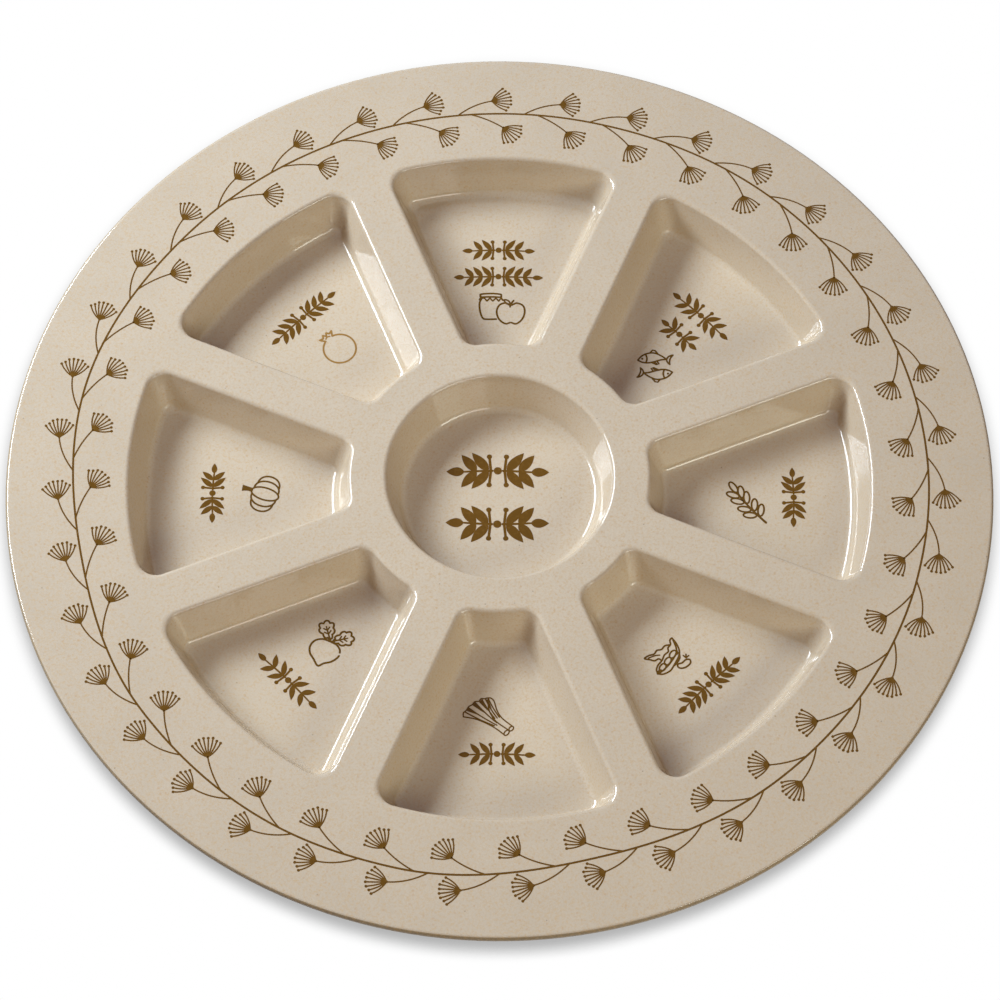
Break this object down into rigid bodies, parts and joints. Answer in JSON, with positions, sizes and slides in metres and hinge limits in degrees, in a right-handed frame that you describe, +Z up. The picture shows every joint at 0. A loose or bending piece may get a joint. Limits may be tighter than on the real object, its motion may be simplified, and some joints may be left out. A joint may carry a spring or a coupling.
{
  "type": "rosh hashanah plate",
  "caption": "Round one-piece serving plate with sector wells around a round centre well for symbolic foods, with printed foils in its rim and well floors.",
  "frame": {"origin": "under the plate's middle, on the surface that its foot stands on", "axes": "+Z up along the plate's axis, +Y from the centre well to the apple and honey well, +X to the date well"},
  "size_m": [0.35, 0.35, 0.0205],
  "materials": {
    "melamine": "gloss",
    "printed_foil": "gloss"
  },
  "bodies": {
    "root": {"plate_moulding": "melamine", "rim_foil": "printed_foil", "centre_foil": "printed_foil", "date_foil": "printed_foil", "fish_foil": "printed_foil", "apple_honey_foil": "printed_foil", "pomegranate_foil": "printed_foil", "gourd_foil": "printed_foil", "beet_foil": "printed_foil", "leek_foil": "printed_foil", "black_eyed_pea_foil": "printed_foil"}
  },
  "joints": []
}
